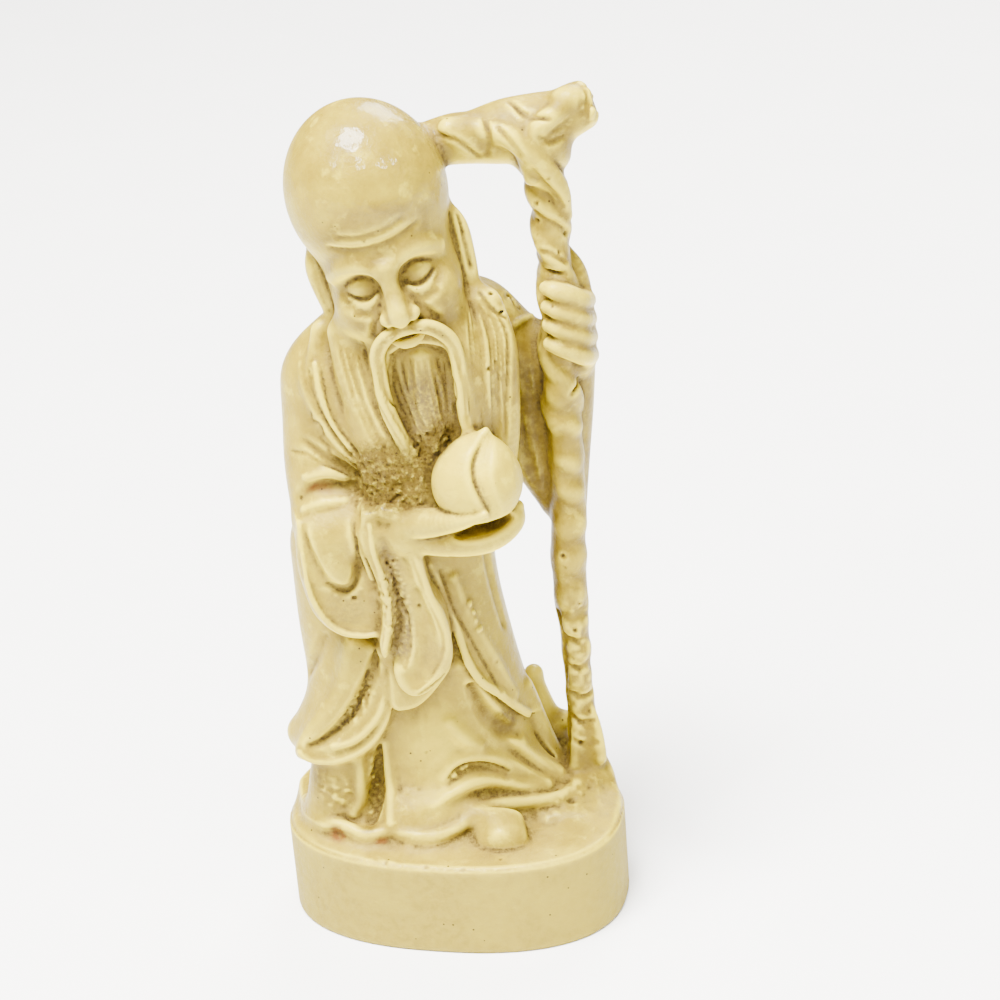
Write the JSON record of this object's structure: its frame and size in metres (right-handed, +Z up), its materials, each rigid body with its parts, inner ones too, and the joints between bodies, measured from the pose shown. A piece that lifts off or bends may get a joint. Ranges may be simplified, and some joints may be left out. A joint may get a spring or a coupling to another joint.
{
  "type": "shou lao figure",
  "caption": "Small cast resin figure of an old man with a tall bald head and long beard, holding a peach and a knotted staff, on an oval base.",
  "frame": {"origin": "middle of the oval base, on the plane of its flat underside", "axes": "+Z up along the standing figure; the figure looks towards -Y and its peach is held out that way; +X towards the staff"},
  "size_m": [0.06, 0.041, 0.1412],
  "materials": {
    "ivory_resin": "aged ivory resin, glossy on the raised forms, duller on the base, with brown dirt in the hollows"
  },
  "bodies": {
    "root": {"shou_lao_figure": "ivory_resin"}
  },
  "joints": []
}
